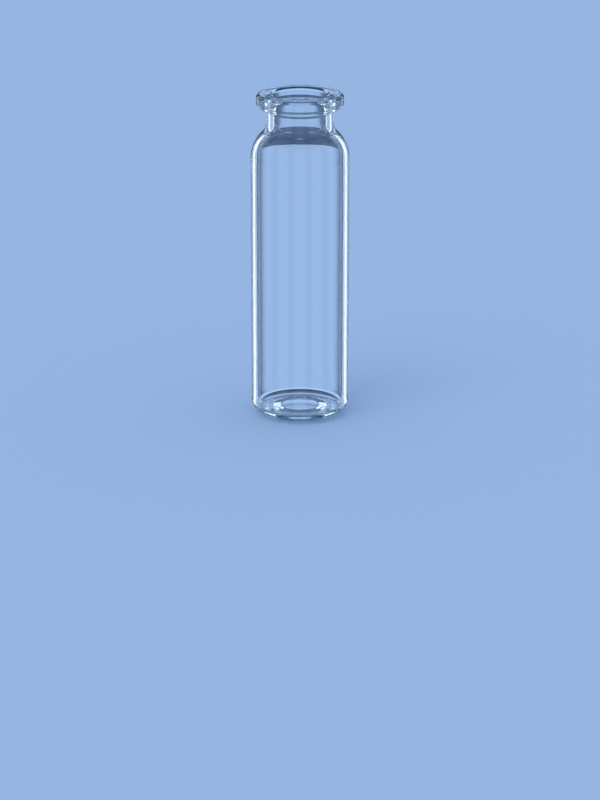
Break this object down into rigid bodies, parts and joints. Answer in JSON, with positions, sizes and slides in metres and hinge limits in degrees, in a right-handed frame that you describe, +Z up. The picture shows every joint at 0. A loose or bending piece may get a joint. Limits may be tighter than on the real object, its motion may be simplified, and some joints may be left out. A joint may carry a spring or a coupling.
{
  "type": "glass sample vial",
  "caption": "Clear glass laboratory sample vial: straight round body, sloping shoulder, short neck and a crimp flange with a plain open bore.",
  "frame": {"origin": "centre of the base, on the plane of the foot ring that the vial stands on", "axes": "+Z up along the vial's axis of revolution, out of the mouth; X and Y are free, because the vial is round"},
  "size_m": [0.0225, 0.0224, 0.0755],
  "materials": {
    "glass": "clear, smooth and fire-polished; colourless borosilicate glass, index of refraction about 1.5"
  },
  "bodies": {
    "root": {"vial": "glass"}
  },
  "joints": []
}
